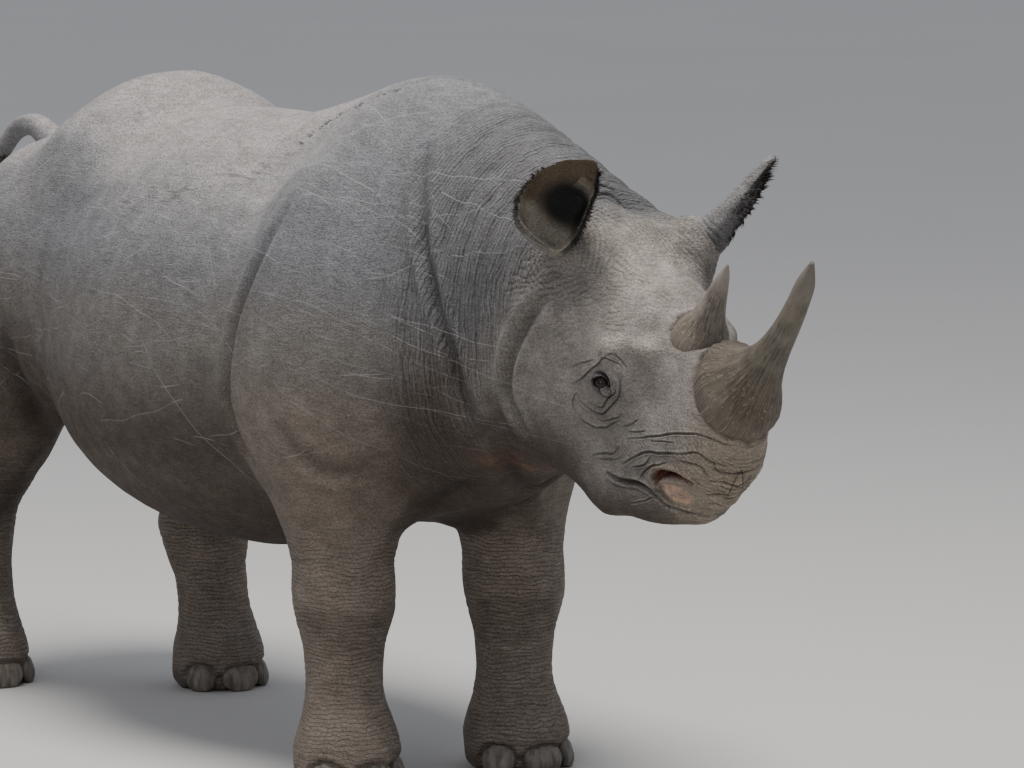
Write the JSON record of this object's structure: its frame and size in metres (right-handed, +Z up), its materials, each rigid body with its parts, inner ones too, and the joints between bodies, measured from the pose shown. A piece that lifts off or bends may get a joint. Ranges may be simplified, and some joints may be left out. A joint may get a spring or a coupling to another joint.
{
  "type": "rhinoceros",
  "caption": "Adult black rhinoceros standing, life size: barrel trunk, long head with a front and a rear horn, cupped ears, raised tail and pillar legs on nailed feet.",
  "frame": {"origin": "centre of the bounding box at floor level", "axes": "+X toward the muzzle, +Y to the animal's left, +Z up"},
  "size_m": [3.6156, 0.8868, 1.5659],
  "materials": {
    "hide": "thick, dry, wrinkled grey-brown skin",
    "horn": "dull fibrous keratin, worn smooth toward the tip",
    "nail": "dull scuffed nail",
    "eye": "wet, glossy, dark brown",
    "bristle": "coarse black hair of the ear rims, tail tip and lashes"
  },
  "bodies": {
    "root": {"nail_fore_right_1": "nail", "nail_fore_right_2": "nail", "nail_fore_right_3": "nail", "leg_fore_right": "hide", "nail_fore_left_1": "nail", "nail_fore_left_2": "nail", "nail_fore_left_3": "nail", "leg_fore_left": "hide", "nail_hind_right_1": "nail", "nail_hind_right_2": "nail", "nail_hind_right_3": "nail", "leg_hind_right": "hide", "nail_hind_left_1": "nail", "nail_hind_left_2": "nail", "nail_hind_left_3": "nail", "leg_hind_left": "hide", "tail_base": "hide", "tail_middle": "hide", "tail_tip": "hide", "horn_front": "horn", "horn_rear": "horn", "ear_right": "hide", "eye_right": "eye", "ear_left": "hide", "eye_left": "eye", "head": "hide", "neck": "hide", "trunk": "hide"}
  },
  "joints": []
}
